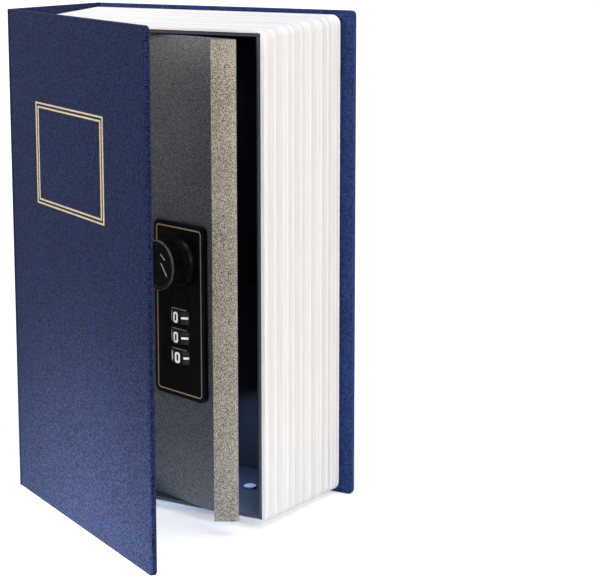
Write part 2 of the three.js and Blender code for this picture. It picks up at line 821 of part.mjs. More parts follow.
function changeLever() {
  const { left, tail } = leverPlace();
  const front = axleDepth + wheelRadius + seat + springThickness + seat;
  const low = [left, front, tail];
  const high = [left + leverWidth, backCoverBack + leverProud, tail + leverLength];
  return part('change_lever', slab(low, high), finish.blackPlastic);
}

// A fork round the tail of the lock, raised on its folded edge, with a pin in the slot of its bar.
function lockClamp() {
  const inner = bodyHalfWidth + seat;
  const outer = inner + clampArmWidth;
  const back = panelBack + clampStand;
  const tail = bodyTail - clampReach;
  const barTop = bodyTail - seat;
  const armHead = bodyTail + clampArm;
  const shape = outline([
    [-outer, tail], [outer, tail], [outer, armHead], [inner, armHead],
    [inner, barTop], [-inner, barTop], [-inner, armHead], [-outer, armHead],
  ]);
  const slot = roundedRectangle(
    -clampSlotHalf, clampSlotHalf, tail + clampSlotMargin, barTop - clampSlotMargin / 2, clampPinRadius / 2,
  );
  shape.holes.push(slot);
  const edge = slab([-outer, panelBack, tail], [outer, back, tail + clampSheet]);
  return part('lock_clamp', build([plate(shape, back - clampSheet, back), edge]), finish.zinc);
}

function clampPin() {
  const low = bodyTail - clampReach + clampSlotMargin;
  const high = bodyTail - seat - clampSlotMargin / 2;
  const half = clampSlotHalf - seat;
  const rod = prism(circle(clampPinRadius), -half, half, 12).rotateY(Math.PI / 2);
  const pin = part('clamp_pin', rod, finish.yellowZinc);
  pin.position.set(0, panelBack + clampStand - clampSheet / 2, (low + high) / 2);
  return pin;
}

// The studs beside the lock body that hold it to the door.
function clampStuds() {
  const reach = bodyHalfWidth + seat + studHeadRadius;
  const profile = [
    [0, panelBack], [studRadius, panelBack], [studRadius, panelBack + clampStand],
    [studHeadRadius, panelBack + clampStand], [studHeadRadius, panelBack + clampStand + studHeadHeight / 2],
    [studRadius, panelBack + clampStand + studHeadHeight], [0, panelBack + clampStand + studHeadHeight],
  ];
  return [-reach, reach].map((x, i) => {
    const stud = part(`clamp_stud_${i + 1}`, toGeometry(toSolid(turned(profile, 16))), finish.zinc);
    stud.position.set(x, 0, bodyTail + clampArm + studMargin);
    return stud;
  });
}

function lockBolt() {
  const slotHalf = spindleRadius + seat;
  const shape = outline([
    [boltBack, -boltHeight / 2], [boltReach, -boltHeight / 2], [boltReach, boltHeight / 2],
    [boltBack, boltHeight / 2], [boltBack, slotHalf], [slotHalf, slotHalf], [slotHalf, -slotHalf],
    [boltBack, -slotHalf],
  ]);
  return part('lock_bolt', plate(shape, boltDepth, boltDepth + boltThickness), finish.zinc);
}

// The knob's skirt and neck, its face, and the grip between them.
function knob() {
  const base = -seat - plateThickness - seat;
  const faceDepth = base - knobHeight;
  const gripBase = faceDepth + knobGripHeight;
  const neckTop = gripBase - knobChamfer;
  const foot = [
    [0, base], [knobSkirtRadius, base], [knobSkirtRadius, base - knobSkirtHeight / 2],
    [knobNeckRadius, base - knobSkirtHeight], [knobNeckRadius, neckTop], [0, neckTop],
  ];
  const face = [
    [0, faceDepth + 2 * knobChamfer], [knobFaceRadius - knurlDepth, faceDepth + 2 * knobChamfer],
    [knobFaceRadius - knurlDepth, faceDepth + knobChamfer],
    [knobFaceRadius - knurlDepth - knobChamfer, faceDepth], [0, faceDepth],
  ];
  const teeth = [];
  for (let i = 0; i < 2 * knurlCount; i += 1) {
    const angle = (i * Math.PI) / knurlCount;
    const radius = knobFaceRadius - (i % 2) * knurlDepth;
    teeth.push([radius * Math.cos(angle), radius * Math.sin(angle)]);
  }
  const grip = plate(outline(teeth), faceDepth + knobChamfer, gripBase);
  const past = 1; // the bore runs past the foot by this
  const bore = plate(circle(spindleRadius + seat), base - spindleGrip, base + past, 20);
  return part('knob', build([turned(foot, 40), turned(face, 40), grip], [bore]), finish.blackPlastic);
}

function knobSpindle() {
  const start = -2 * seat - plateThickness - spindleGrip + seat;
  const shoulder = backCoverBack + seat;
  const end = shoulder + 2 * seat + discThickness;
  const profile = [
    [0, start], [spindleRadius, start], [spindleRadius, shoulder], [spindleEndRadius, shoulder],
    [spindleEndRadius, end], [0, end],
  ];
  return part('knob_spindle', toGeometry(toSolid(turned(profile, 20))), finish.zinc);
}

function spindleDisc() {
  const front = backCoverBack + 2 * seat;
  const inner = spindleEndRadius + seat;
  const profile = [
    [inner, front], [discRadius, front], [discRadius, front + discThickness / 2],
    [discRadius - discChamfer, front + discThickness], [inner, front + discThickness], [inner, front],
  ];
  return part('spindle_disc', toGeometry(toSolid(turned(profile, 32))), finish.blackMetal);
}

function lock() {
  const group = new THREE.Group();
  group.add(lockPlate(), lockBody(), lockBackCover(), headPlate(), spindleRing());
  group.add(wheelAxle(), detentSpring(), changeLever());
  group.add(lockClamp(), clampPin(), ...clampStuds(), lockBolt());
  const names = ['number_wheel_upper', 'number_wheel_middle', 'number_wheel_lower'];
  wheelHeights().forEach((height, i) => group.add(numberWheel(names[i], height)));
  group.add(knob(), knobSpindle(), spindleDisc());
  group.position.set(lockPoint.x, lockPoint.y, lockHeight);
  group.rotation.z = -panelSlope;
  return group;
}

function door() {
  const group = new THREE.Group();
  group.add(doorPanel(), lock());
  group.position.set(doorAxis.x, doorAxis.y, 0);
  group.rotation.z = -doorOpen;
  return group;
}

const bookSafe = new THREE.Group();
bookSafe.add(spineAndBack(), frontCover(), pageFrame(), boxTray(), ...boxRivets(), hingePin());
bookSafe.add(...strike(), floorLiner(), door());

export default bookSafe;
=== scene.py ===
# %% [markdown]
# A book that hides a steel safe. The book stands on its tail edge with the front cover
# and the safe's door ajar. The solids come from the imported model, which is loaded here as
# a fixed frame. This lesson dresses them: each cell makes one piece or one finish.

import json
import math

import bmesh
import bpy
from mathutils import Matrix, Vector


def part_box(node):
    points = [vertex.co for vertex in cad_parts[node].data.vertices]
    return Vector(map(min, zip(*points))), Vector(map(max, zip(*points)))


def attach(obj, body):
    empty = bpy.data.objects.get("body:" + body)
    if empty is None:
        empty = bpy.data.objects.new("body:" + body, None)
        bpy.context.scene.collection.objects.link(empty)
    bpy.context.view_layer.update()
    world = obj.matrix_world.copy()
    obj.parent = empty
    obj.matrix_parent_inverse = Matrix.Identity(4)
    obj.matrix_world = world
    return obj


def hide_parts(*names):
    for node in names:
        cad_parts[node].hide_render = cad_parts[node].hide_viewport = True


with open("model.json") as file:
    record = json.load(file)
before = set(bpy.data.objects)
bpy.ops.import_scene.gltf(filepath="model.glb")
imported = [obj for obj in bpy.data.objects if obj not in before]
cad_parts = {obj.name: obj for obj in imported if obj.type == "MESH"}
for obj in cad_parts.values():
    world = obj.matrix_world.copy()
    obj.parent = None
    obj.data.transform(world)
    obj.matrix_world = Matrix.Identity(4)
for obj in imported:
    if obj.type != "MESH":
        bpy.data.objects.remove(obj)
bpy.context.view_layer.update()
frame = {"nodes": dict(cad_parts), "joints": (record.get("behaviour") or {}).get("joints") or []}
joints = {joint["name"]: joint for joint in frame["joints"]}

# %% [markdown]
# Blender works in metres and this book is easier to describe in millimetres, so every
# piece is built in millimetres and placed by one matrix at the end. The covers, the door
# and the lock each have a frame of their own. The joints say where these frames are.

# %% Frames of the moving parts
MM = 0.001


def frame_at(place, turn=0.0, height=0.0):
    """A frame in metres whose own units are millimetres."""
    spot = Matrix.Translation((place[0], place[1], height * MM))
    return spot @ Matrix.Rotation(turn, 4, "Z") @ Matrix.Scale(MM, 4)


def rest_angle(name):
    """How far a joint stands open at rest, in radians."""
    return -math.radians(joints[name]["range_deg"][0])


book = frame_at((0, 0))
cover_hinge = joints["cover_hinge"]["pos_m"]
door_hinge = joints["door_hinge"]["pos_m"]
knob_axis = joints["knob_turn"]["pos_m"]
panel_line = joints["bolt_slide"]["axis"]
cover_frame = frame_at(cover_hinge, -rest_angle("cover_hinge"))
door_frame = frame_at(door_hinge, -rest_angle("door_hinge"))
lock_frame = frame_at(knob_axis, math.atan2(panel_line[1], panel_line[0]), knob_axis[2] / MM)


def node_box(name):
    """A node's lowest and highest corners in millimetres."""
    low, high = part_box(name)
    return [value / MM for value in low], [value / MM for value in high]


(spine_x, _, _), (fore_x, back_y, book_height) = node_box("back_cover_cloth")
spine_x = node_box("spine_cloth")[0][0]
cover_thickness = 2 * back_y
book_width = fore_x - spine_x
print("book", round(book_width, 2), "x", round(book_height, 2), "mm")

# %% [markdown]
# The camera stands to the right of the book and a little above it, as the photographer
# did. A long lens from two thirds of a metre keeps the upright edges nearly parallel.

# %% Camera
camera_place = (0.3750, -0.58045, 0.2159)
camera_tilt, camera_heading = 80.13, 30.4
camera_data = bpy.data.cameras.new("camera")
camera_data.lens = 110.37
camera_data.sensor_width = 36
camera_data.shift_y = -0.1065
camera = bpy.data.objects.new("camera", camera_data)
camera.location = camera_place
camera.rotation_euler = (math.radians(camera_tilt), 0, math.radians(camera_heading))
bpy.context.scene.collection.objects.link(camera)
bpy.context.scene.camera = camera
bpy.context.scene.view_settings.view_transform = "Standard"

# %% [markdown]
# A material is a small sum of patterns. Writing each Math node by hand hides that sum, so
# one class wraps an output socket and lets Python's own operators add the nodes.


# %% Shader arithmetic
class Pattern:
    """An output socket that takes part in ordinary arithmetic."""

    def __init__(self, nodes, socket):
        self.nodes = nodes
        self.socket = socket

    def sum(self, operation, *values):
        return self.nodes.node("ShaderNodeMath", values, operation=operation)

    def __add__(self, other):
        return self.sum("ADD", self, other)

    def __mul__(self, other):
        return self.sum("MULTIPLY", self, other)

    __radd__ = __add__
    __rmul__ = __mul__

    def between(self, low, high):
        """Spreads low to high over 0 to 1 and stops at both ends."""
        values = (self, low, high, 0.0, 1.0)
        return self.nodes.node("ShaderNodeMapRange", values, clamp=True)


class Nodes:
    """The nodes of one material, or of the world."""

    def __init__(self, owner):
        owner.use_nodes = True
        self.tree = owner.node_tree

    def node(self, kind, values=(), output=0, **settings):
        made = self.tree.nodes.new(kind)
        for setting, value in settings.items():
            setattr(made, setting, value)
        pairs = values.items() if isinstance(values, dict) else enumerate(values)
        for socket, value in pairs:
            self.set(made.inputs[socket], value)
        return Pattern(self, made.outputs[output])

    def set(self, socket, value):
        if isinstance(value, Pattern):
            self.tree.links.new(value.socket, socket)
        else:
            socket.default_value = value

    def seen_directly(self):
        """1 for rays of the camera, of reflections and of transmission, 0 for other light."""
        names = ("Is Camera Ray", "Is Glossy Ray", "Is Transmission Ray")
        seen, mirrored, through = (self.node("ShaderNodeLightPath", output=name) for name in names)
        return (seen + mirrored + through).between(0, 1)


class Finish(Nodes):
    """One procedural material."""

    def __init__(self, name, **constants):
        self.material = bpy.data.materials.new(name)
        super().__init__(self.material)
        self.shader = self.tree.nodes["Principled BSDF"]
        self.paint(**constants)

    def paint(self, **values):
        for socket, value in values.items():
            self.set(self.shader.inputs[socket.replace("_", " ")], value)

    def place(self, scale=(1, 1, 1), turn=(0, 0, 0)):
        """Object coordinates in millimetres, stretched by scale."""
        spot = self.node("ShaderNodeTexCoord", output="Object")
        sizes = [value / MM for value in scale]
        return self.node("ShaderNodeMapping", {"Vector": spot, "Rotation": turn, "Scale": sizes})

    def noise(self, size, detail=2.0, where=None, roughness=0.5):
        """Cloudy noise whose lumps are about size millimetres wide."""
        where = where or self.place()
        values = {"Vector": where, "Scale": 1 / size, "Detail": detail, "Roughness": roughness}
        return self.node("ShaderNodeTexNoise", values)

    def mix(self, mask, first, second):
        values = {0: mask, 6: first, 7: second}
        return self.node("ShaderNodeMix", values, output=2, data_type="RGBA")

    def bump(self, height, depth, strength=1.0):
        """A bump of depth millimetres."""
        values = {"Strength": strength, "Distance": depth * MM, "Height": height}
        self.paint(Normal=self.node("ShaderNodeBump", values))


def shade(code):
    """A colour as it is written on the screen, in the linear units that nodes use."""
    parts = [int(code[i:i + 2], 16) / 255 for i in (1, 3, 5)]
    return [p / 12.92 if p <= 0.04045 else ((p + 0.055) / 1.055) ** 2.4 for p in parts] + [1.0]


# %% [markdown]
# The stage is a pale floor in front of a white world. A large lamp on the right rakes the
# page edges and the folded lip of the door, a weaker one on the left reaches the cover,
# and a broad one hangs overhead. Four small ones lift the foot of the cover, the foot and
# the head of the door, and the tail wall inside the safe. The floor and the world look
# white to the camera and to reflections only, so the white doesn't light the book, and the
# floor keeps its shadow.

# %% Stage and light
floor_reach = 3
glow_start, glow_end = 0.16, 0.9
nearest_glow = 0.42
sky_light = 0.26

floor_bm = bmesh.new()
bmesh.ops.create_grid(floor_bm, x_segments=1, y_segments=1, size=floor_reach)
floor_mesh = bpy.data.meshes.new("floor")
floor_bm.to_mesh(floor_mesh)
floor_bm.free()
floor = bpy.data.objects.new("floor", floor_mesh)
bpy.context.scene.collection.objects.link(floor)

paper = Finish("floor_paper", Roughness=0.9, Specular_IOR_Level=0.2, Emission_Strength=1.0)
speck = paper.noise(40, 3)
spot = paper.node("ShaderNodeTexCoord", output="Object")
reach = paper.node("ShaderNodeVectorMath", (spot,), output="Value", operation="LENGTH")
glow = paper.seen_directly() * (nearest_glow + reach.between(glow_start, glow_end) * (1 - nearest_glow))
paper.paint(
    Base_Color=paper.mix(speck.between(0.3, 0.7), shade("#ececed"), shade("#f2f2f2")),
    Emission_Color=paper.mix(glow, shade("#000000"), shade("#ffffff")),
)
floor.data.materials.append(paper.material)

world = bpy.data.worlds.new("world")
bpy.context.scene.world = world
sky = Nodes(world)
background = sky.tree.nodes["Background"]
sky.set(background.inputs["Color"], shade("#ffffff"))
sky.set(background.inputs["Strength"], sky_light + sky.seen_directly() * (1 - sky_light))


def aim(made, place, target):
    """Puts a lamp in the scene, pointed from its place at a target."""
    made.location = place
    made.rotation_euler = (Vector(target) - Vector(place)).to_track_quat("-Z", "Y").to_euler()
    bpy.context.scene.collection.objects.link(made)


def lamp(name, place, target, size, power, colour):
    data = bpy.data.lights.new(name, "AREA")
    data.shape = "RECTANGLE"
    data.size, data.size_y = size
    data.energy = power
    data.color = shade(colour)[:3]
    made = bpy.data.objects.new(name, data)
    made.visible_camera = False
    aim(made, place, target)


def spotlight(name, place, target, cone, power, colour):
    data = bpy.data.lights.new(name, "SPOT")
    data.spot_size = math.radians(cone)
    data.spot_blend = 1.0
    data.shadow_soft_size = 0.05
    data.energy = power
    data.color = shade(colour)[:3]
    aim(bpy.data.objects.new(name, data), place, target)


lamp("key", (1.05, -0.66, 0.50), (0.03, -0.05, 0.09), (0.35, 0.6), 8.2, "#fff8ef")
lamp("fill", (-0.62, -1.00, 0.62), (0, -0.06, 0.12), (0.6, 0.4), 4.6, "#f3f0ee")
lamp("top", (0.20, -0.05, 1.25), (0, -0.03, 0.1), (0.8, 0.8), 8.6, "#e2ebff")
spotlight("cover_foot", (-0.42, -0.95, 0.22), (0.0, -0.09, -0.06), 15, 235.0, "#fff4d6")
spotlight("door_foot", (0.62, -0.90, 0.12), (-0.02, -0.08, -0.06), 12.5, 36.0, "#81c0ff")
spotlight("door_head", (0.62, -0.90, 0.55), (-0.062, -0.08, 0.215), 11, 37.0, "#ffe4c0")
lamp("inside", (0.018, -0.030, 0.034), (0.027, -0.027, 0.0), (0.03, 0.01), 0.016, "#9fb8e6")

# %% [markdown]
# Book cloth is cotton filled with starch and dyed through. Close up it shows a fine
# crossed thread under a mottled surface, and from a step away only the mottle. Two wave
# patterns at right angles give the threads and three sizes of noise give the mottle.


# %% Book cloth
def book_cloth(name, dark, light):
    cloth = Finish(name, Roughness=0.85, Specular_IOR_Level=0.14)
    threads = []
    for direction in ("X", "Z"):
        values = {"Scale": 0.38, "Distortion": 2.2, "Detail": 2.0, "Detail Scale": 2.5}
        values["Vector"] = cloth.place()
        threads.append(cloth.node("ShaderNodeTexWave", values, bands_direction=direction, output="Fac"))
    grain = cloth.noise(0.5, 3, roughness=0.6)
    cloud = cloth.noise(14, 3)
    fleck = cloth.noise(0.85, 3)
    weave = threads[0] * 0.5 + threads[1] * 0.5 + grain * 0.9
    mottle = threads[0] * 0.11 + threads[1] * 0.11 + cloud * 0.05 + fleck * 0.75 + grain * 0.5
    cloth.paint(
        Base_Color=cloth.mix(mottle.between(0.625, 0.87), shade(dark), shade(light)),
        Roughness=0.78 + grain * 0.15,
    )
    cloth.bump(weave, 0.16, 0.8)
    return cloth.material


# %% [markdown]
# The other finishes are simpler: white moulded plastic that only needs a faint unevenness,
# powder coat with its orange peel, black enamel, plated steel with fine scratches, paper
# and felt. Each is a colour, a roughness and a bump from noise of the right size.


# %% Paper, felt and plastic
def page_plastic(name, dark, light):
    pages = Finish(name, Roughness=0.55, Specular_IOR_Level=0.3)
    line = pages.noise(0.5, 2, pages.place(scale=(0.02, 1, 0.02)))
    cloud = pages.noise(9, 2)
    pages.paint(
        Base_Color=pages.mix(line.between(0.35, 0.7) * 0.7 + cloud * 0.3, shade(dark), shade(light)),
        Roughness=0.5 + cloud * 0.2,
    )
    pages.bump(line, 0.03, 0.35)
    return pages.material


def soft_paper(name, dark, light, size, depth):
    sheet = Finish(name, Roughness=0.85)
    fibre = sheet.noise(size, 4, roughness=0.7)
    sheet.paint(Base_Color=sheet.mix(fibre.between(0.3, 0.7), shade(dark), shade(light)))
    sheet.bump(fibre, depth, 0.5)
    return sheet.material


def moulded(name, dark, light, gloss, **constants):
    plastic = Finish(name, Roughness=gloss, **constants)
    cloud = plastic.noise(3, 3)
    grain = plastic.noise(0.25, 2)
    plastic.paint(
        Base_Color=plastic.mix(cloud.between(0.3, 0.7), shade(dark), shade(light)),
        Roughness=gloss + grain * 0.12,
    )
    plastic.bump(grain, 0.01, 0.4)
    return plastic.material


# %% Metals
def powder_coat(name, dark, light, lump, depth, spread=0.12):
    coat = Finish(name, Metallic=0.0, Specular_IOR_Level=0.5)
    peel = coat.noise(lump, 2, roughness=0.4)
    fine = coat.noise(lump / 3, 2)
    dust = coat.noise(12, 3)
    tone = (peel * 0.6 + fine * 0.34 + dust * 0.06).between(0.5 - spread, 0.5 + spread)
    coat.paint(
        Base_Color=coat.mix(tone, shade(dark), shade(light)),
        Roughness=0.34 + fine * 0.22,
    )
    coat.bump(peel + fine * 0.3, depth, 0.8)
    return coat.material


def plated(name, dark, light, gloss):
    plate = Finish(name, Metallic=0.9)
    scratch = plate.noise(0.35, 3, plate.place(scale=(1, 1, 0.06)))
    cloud = plate.noise(4, 3)
    plate.paint(
        Base_Color=plate.mix(cloud.between(0.3, 0.7), shade(dark), shade(light)),
        Roughness=gloss + scratch * 0.2,
    )
    plate.bump(scratch, 0.008, 0.5)
    return plate.material


def enamel(name, colour, gloss):
    black = Finish(name, Specular_IOR_Level=0.16)
    cloud = black.noise(6, 3)
    peel = black.noise(0.5, 2)
    black.paint(
        Base_Color=black.mix(cloud.between(0.3, 0.7), shade("#07080a"), shade(colour)),
        Roughness=gloss + peel * 0.12,
    )
    black.bump(peel, 0.012, 0.4)
    return black.material


def gold_foil():
    foil = Finish("gold_foil", Metallic=0.55)
    wear = foil.noise(0.45, 4, roughness=0.7)
    foil.paint(
        Base_Color=foil.mix(wear.between(0.25, 0.6), shade("#8d7a5c"), shade("#d9c7a2")),
        Roughness=0.38 + wear * 0.25,
    )
    foil.bump(wear, 0.03, 0.5)
    return foil.material


finishes = {
    "cloth": book_cloth("book_cloth", "#050714", "#22305b"),
    # The back cover gets a lighter copy of the same cloth: painted light for the brighter light on the back
    # cover.
    "back cloth lit lighter": book_cloth("back_cloth_painted_light", "#1a254b", "#30457a"),
    "pages": page_plastic("page_plastic", "#e9e6e2", "#f6f4f1"),
    # A darker copy of the page plastic that paints shade into the deeper rib grooves.
    "groove": page_plastic("page_groove_painted_shade", "#dedbd7", "#eeece9"),
    "endpaper": soft_paper("endpaper", "#dfe4ec", "#eef1f6", 0.8, 0.02),
    "felt": soft_paper("felt", "#1b1d26", "#2a2d38", 0.35, 0.12),
    "door": powder_coat("door_coat", "#1f2124", "#888a8d", 0.38, 0.09, 0.11),
    # The folded lip gets a lighter, warmer copy of the door's coat: painted light for the light that falls on
    # the lip.
    "lip": powder_coat("lip_coat_painted_light", "#26231f", "#c0b6a5", 0.36, 0.11, 0.1),
    "box": powder_coat("box_coat", "#2b313d", "#424a56", 0.75, 0.06),
    "enamel": enamel("black_enamel", "#08090d", 0.36),
    "knob": moulded("knob_plastic", "#050507", "#090a0d", 0.24, Specular_IOR_Level=0.18),
    # A light grey copy of the knob plastic: a painted glint for the teeth of the grip.
    "tooth_glint": moulded("knurl_painted_glint", "#37373b", "#58585c", 0.4),
    "wheel": moulded("wheel_plastic", "#0c0d10", "#16171b", 0.36),
    # The numerals' white paint glows faintly: painted light that keeps them bright in the shade of the plate.
    "white": moulded(
        "glowing_white_paint", "#f2f2ef", "#fdfdfb", 0.5, Emission_Color=shade("#ffffff"), Emission_Strength=0.3,
    ),
    "index": moulded("index_paint", "#b4b4b2", "#d2d2cf", 0.5),
    "zinc": plated("zinc_plate", "#bdbbb4", "#dcdad3", 0.25),
    "rivet": soft_paper("dull_zinc", "#a9adb6", "#c2c6ce", 0.8, 0.01),
    "yellow": plated("yellow_passivate", "#72712c", "#a86b36", 0.3),
    "gold": gold_foil(),
    "gold_line": soft_paper("gold_paint", "#a98c6c", "#cbb08e", 0.6, 0.01),
}
print("finishes", len(finishes))

# %% [markdown]
# Every piece ends the same way: its bmesh becomes a mesh, the frame's matrix puts it in
# place, its edges are smoothed by angle, and it rides on the body that carries it.


# %% Piece helpers
def add_piece(name, bm, place, body, finish, stands_for=(), smooth=32):
    mesh = bpy.data.meshes.new(name)
    bm.to_mesh(mesh)
    bm.free()
    mesh.transform(place)
    mesh.shade_smooth()
    mesh.set_sharp_from_angle(angle=math.radians(smooth))
    mesh.materials.append(finishes[finish])
    made = bpy.data.objects.new(name, mesh)
    bpy.context.scene.collection.objects.link(made)
    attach(made, body)
    if stands_for:
        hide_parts(*stands_for)
    return made


def bevel(bm, edges, offset, segments):
    bmesh.ops.bevel(
        bm, geom=list(edges), offset=offset, offset_type="OFFSET", affect="EDGES",
        segments=segments, profile=0.5, material=-1, clamp_overlap=True,
    )


def block(low, high):
    """A cuboid between two corners."""
    bm = bmesh.new()
    middle = [(a + b) / 2 for a, b in zip(low, high)]
    size = [b - a for a, b in zip(low, high)]
    placed = Matrix.Translation(middle) @ Matrix.Diagonal((*size, 1))
    bmesh.ops.create_cube(bm, size=1, matrix=placed)
    return bm


def new_verts(result):
    """The points that an extrusion made."""
    return [item for item in result["geom"] if isinstance(item, bmesh.types.BMVert)]


def edges_between(verts):
    """The edges that have both ends among these points."""
    kept = set(verts)
    return list({edge for vert in verts for edge in vert.link_edges if all(v in kept for v in edge.verts)})


def lift_faces(bm, offset):
    """Extrudes all faces of a flat outline by an offset."""
    raised = new_verts(bmesh.ops.extrude_face_region(bm, geom=list(bm.faces)))
    bmesh.ops.translate(bm, verts=raised, vec=offset)
    bmesh.ops.recalc_face_normals(bm, faces=bm.faces)


def sharp_edges(bm, angle):
    """The edges whose faces meet at more than an angle, in degrees."""
    bm.normal_update()
    limit = math.radians(angle)
    return [edge for edge in bm.edges if edge.is_manifold and edge.calc_face_angle() > limit]


def rounded_rectangle(left, right, bottom, top, radius, steps):
    """The corner arcs of a rounded rectangle, as points."""
    centres = (
        (right - radius, top - radius, 0), (left + radius, top - radius, 1),
        (left + radius, bottom + radius, 2), (right - radius, bottom + radius, 3),
    )
    points = []
    for x, y, quarter in centres:
        for step in range(steps + 1):
            angle = (quarter + step / steps) * math.pi / 2
            points.append((x + radius * math.cos(angle), y + radius * math.sin(angle)))
    return points


def ring_of(radius, steps=32):
    """Points on a circle round the origin."""
    angles = [2 * math.pi * step / steps for step in range(steps)]
    return [(radius * math.cos(angle), radius * math.sin(angle)) for angle in angles]


def from_curve(data):
    """A curve or text as a bmesh."""
    carrier = bpy.data.objects.new("outline", data)
    bpy.context.scene.collection.objects.link(carrier)
    mesh = bpy.data.meshes.new_from_object(carrier.evaluated_get(bpy.context.evaluated_depsgraph_get()))
    bm = bmesh.new()
    bm.from_mesh(mesh)
    bpy.data.objects.remove(carrier)
    bpy.data.meshes.remove(mesh)
    return bm


def curve_solid(outlines, back, front, edge):
    """A filled flat curve with holes, given thickness and rounded edges, standing upright."""
    data = bpy.data.curves.new("outline", "CURVE")
    data.dimensions = "2D"
    data.fill_mode = "BOTH"
    data.extrude = abs(back - front) / 2 - edge
    data.bevel_depth = edge
    data.bevel_resolution = 2
    data.offset = -edge
    for outline in outlines:
        spline = data.splines.new("POLY")
        spline.points.add(len(outline) - 1)
        for point, (x, y) in zip(spline.points, outline):
            point.co = (x, y, 0, 1)
        spline.use_cyclic_u = True
    bm = from_curve(data)
    bmesh.ops.remove_doubles(bm, verts=bm.verts, dist=0.001)
    bmesh.ops.rotate(bm, verts=bm.verts, matrix=Matrix.Rotation(math.pi / 2, 3, "X"))
    bmesh.ops.translate(bm, verts=bm.verts, vec=(0, (back + front) / 2, 0))
    bmesh.ops.recalc_face_normals(bm, faces=bm.faces)
    return bm


def spun(profile, steps):
    """A profile of radius and depth turned round the Y axis."""
    bm = bmesh.new()
    points = [bm.verts.new((radius, depth, 0)) for radius, depth in profile]
    edges = [bm.edges.new(pair) for pair in zip(points, points[1:])]
    bmesh.ops.spin(
        bm, geom=points + edges, cent=(0, 0, 0), axis=(0, 1, 0), angle=2 * math.pi,
        steps=steps, use_merge=True, use_normal_flip=False, use_duplicate=False,
    )
    bmesh.ops.remove_doubles(bm, verts=bm.verts, dist=0.001)
    bmesh.ops.recalc_face_normals(bm, faces=bm.faces)
    return bm


def merge_into(bm, other, place=Matrix.Identity(4)):
    """Adds another bmesh, moved by a matrix, and frees it."""
    bmesh.ops.transform(other, matrix=place, verts=other.verts)
    carrier = bpy.data.meshes.new("carrier")
    other.to_mesh(carrier)
    other.free()
    bm.from_mesh(carrier)
    bpy.data.meshes.remove(carrier)


# %% [markdown]
# A cover is a millboard wrapped in cloth. Its edges are soft, because the cloth goes
# round them, and its two free corners are a little rounded. A cuboid with bevelled
# corners, then bevelled edges, has that shape with very few faces.

# %% Covers and spine
corner_radius = 1.8
wrap_radius = 0.6
joint_gap = 0.05
joint_radius = cover_thickness / 2
panel_start = joint_radius + joint_gap


def wrapped_panel(start, end, rounded):
    half = cover_thickness / 2
    bm = block((start, -half, 0), (end, half, book_height))
    if rounded:
        ends = [e for e in bm.edges if all(v.co.x > end - 0.1 for v in e.verts)]
        corners = [e for e in ends if abs(e.verts[0].co.y - e.verts[1].co.y) > 1]
        bevel(bm, corners, corner_radius, 5)
    bevel(bm, sharp_edges(bm, 50), wrap_radius, 4)
    return bm


cover_reach = book_width - joint_radius
add_piece(
    "front_cover", wrapped_panel(panel_start, cover_reach, True), cover_frame, "front_cover",
    "cloth", ("front_cover_cloth", "front_cover_board"), 40,
)
back_frame = frame_at((spine_x * MM + joint_radius * MM, 0))
# The back cover wears the lighter copy of the cloth, which is painted light.
add_piece(
    "back_cover", wrapped_panel(panel_start, cover_reach, True), back_frame, "case",
    "back cloth lit lighter", ("back_cover_cloth", "back_cover_board"), 40,
)
spine_length = -cover_hinge[1] / MM - panel_start
spine_frame = back_frame @ Matrix.Rotation(-math.pi / 2, 4, "Z")
add_piece(
    "spine", wrapped_panel(panel_start, spine_length, False), spine_frame, "case",
    "cloth", ("spine_cloth", "spine_board"), 40,
)
print("covers", round(cover_reach - panel_start, 1), "mm wide, spine", round(spine_length, 1), "mm")

# %% [markdown]
# The cloth runs from the cover round to the spine over an open joint. Seen from outside
# it is a soft round bead with a shallow valley on each side, so an upright round bead
# stands for it at both corners of the spine.


# %% Cloth joints
def cloth_bead(name, place, stands_for):
    bm = bmesh.new()
    bmesh.ops.create_circle(bm, cap_ends=True, radius=joint_radius, segments=32)
    lift_faces(bm, (0, 0, book_height))
    bevel(bm, sharp_edges(bm, 60), 0.3, 2)
    add_piece(name, bm, frame_at(place), "case", "cloth", (stands_for,), 40)


cloth_bead("front_joint", cover_hinge, "front_joint_cloth")
cloth_bead("back_joint", (cover_hinge[0], 0), "back_joint_cloth")

# %% [markdown]
# The front cover carries a double frame of gold foil. Each line is a flat curve with a
# rectangular hole, a few hundredths of a millimetre thick.

# %% Gold frame on the cover
frame_left, frame_right = 24.3, 81.8
frame_bottom, frame_top = 112.1, 148.5
foil_proud = 0.04
line_steps = (((0, 0), (1.0, 0.62)), ((1.85, 1.37), (2.8, 2.02)))
face_y = -cover_thickness / 2
for number, steps in enumerate(line_steps):
    outlines = []
    for across, upward in steps:
        edges = (frame_left + across, frame_right - across, frame_bottom + upward, frame_top - upward)
        outlines.append(rounded_rectangle(*edges, 0.05, 1))
    line = curve_solid(outlines, face_y, face_y - foil_proud, 0.01)
    add_piece(f"gold_line_{number + 1}", line, cover_frame, "front_cover", "gold")

# %% [markdown]
# The page frame is a white moulding whose head, tail and fore-edge are ribbed to look like
# pages. Its walls lean, as a moulding's must to leave the mould. One rounded outline is
# extruded back step by step, and each step is scaled by the lean and by the ribs.

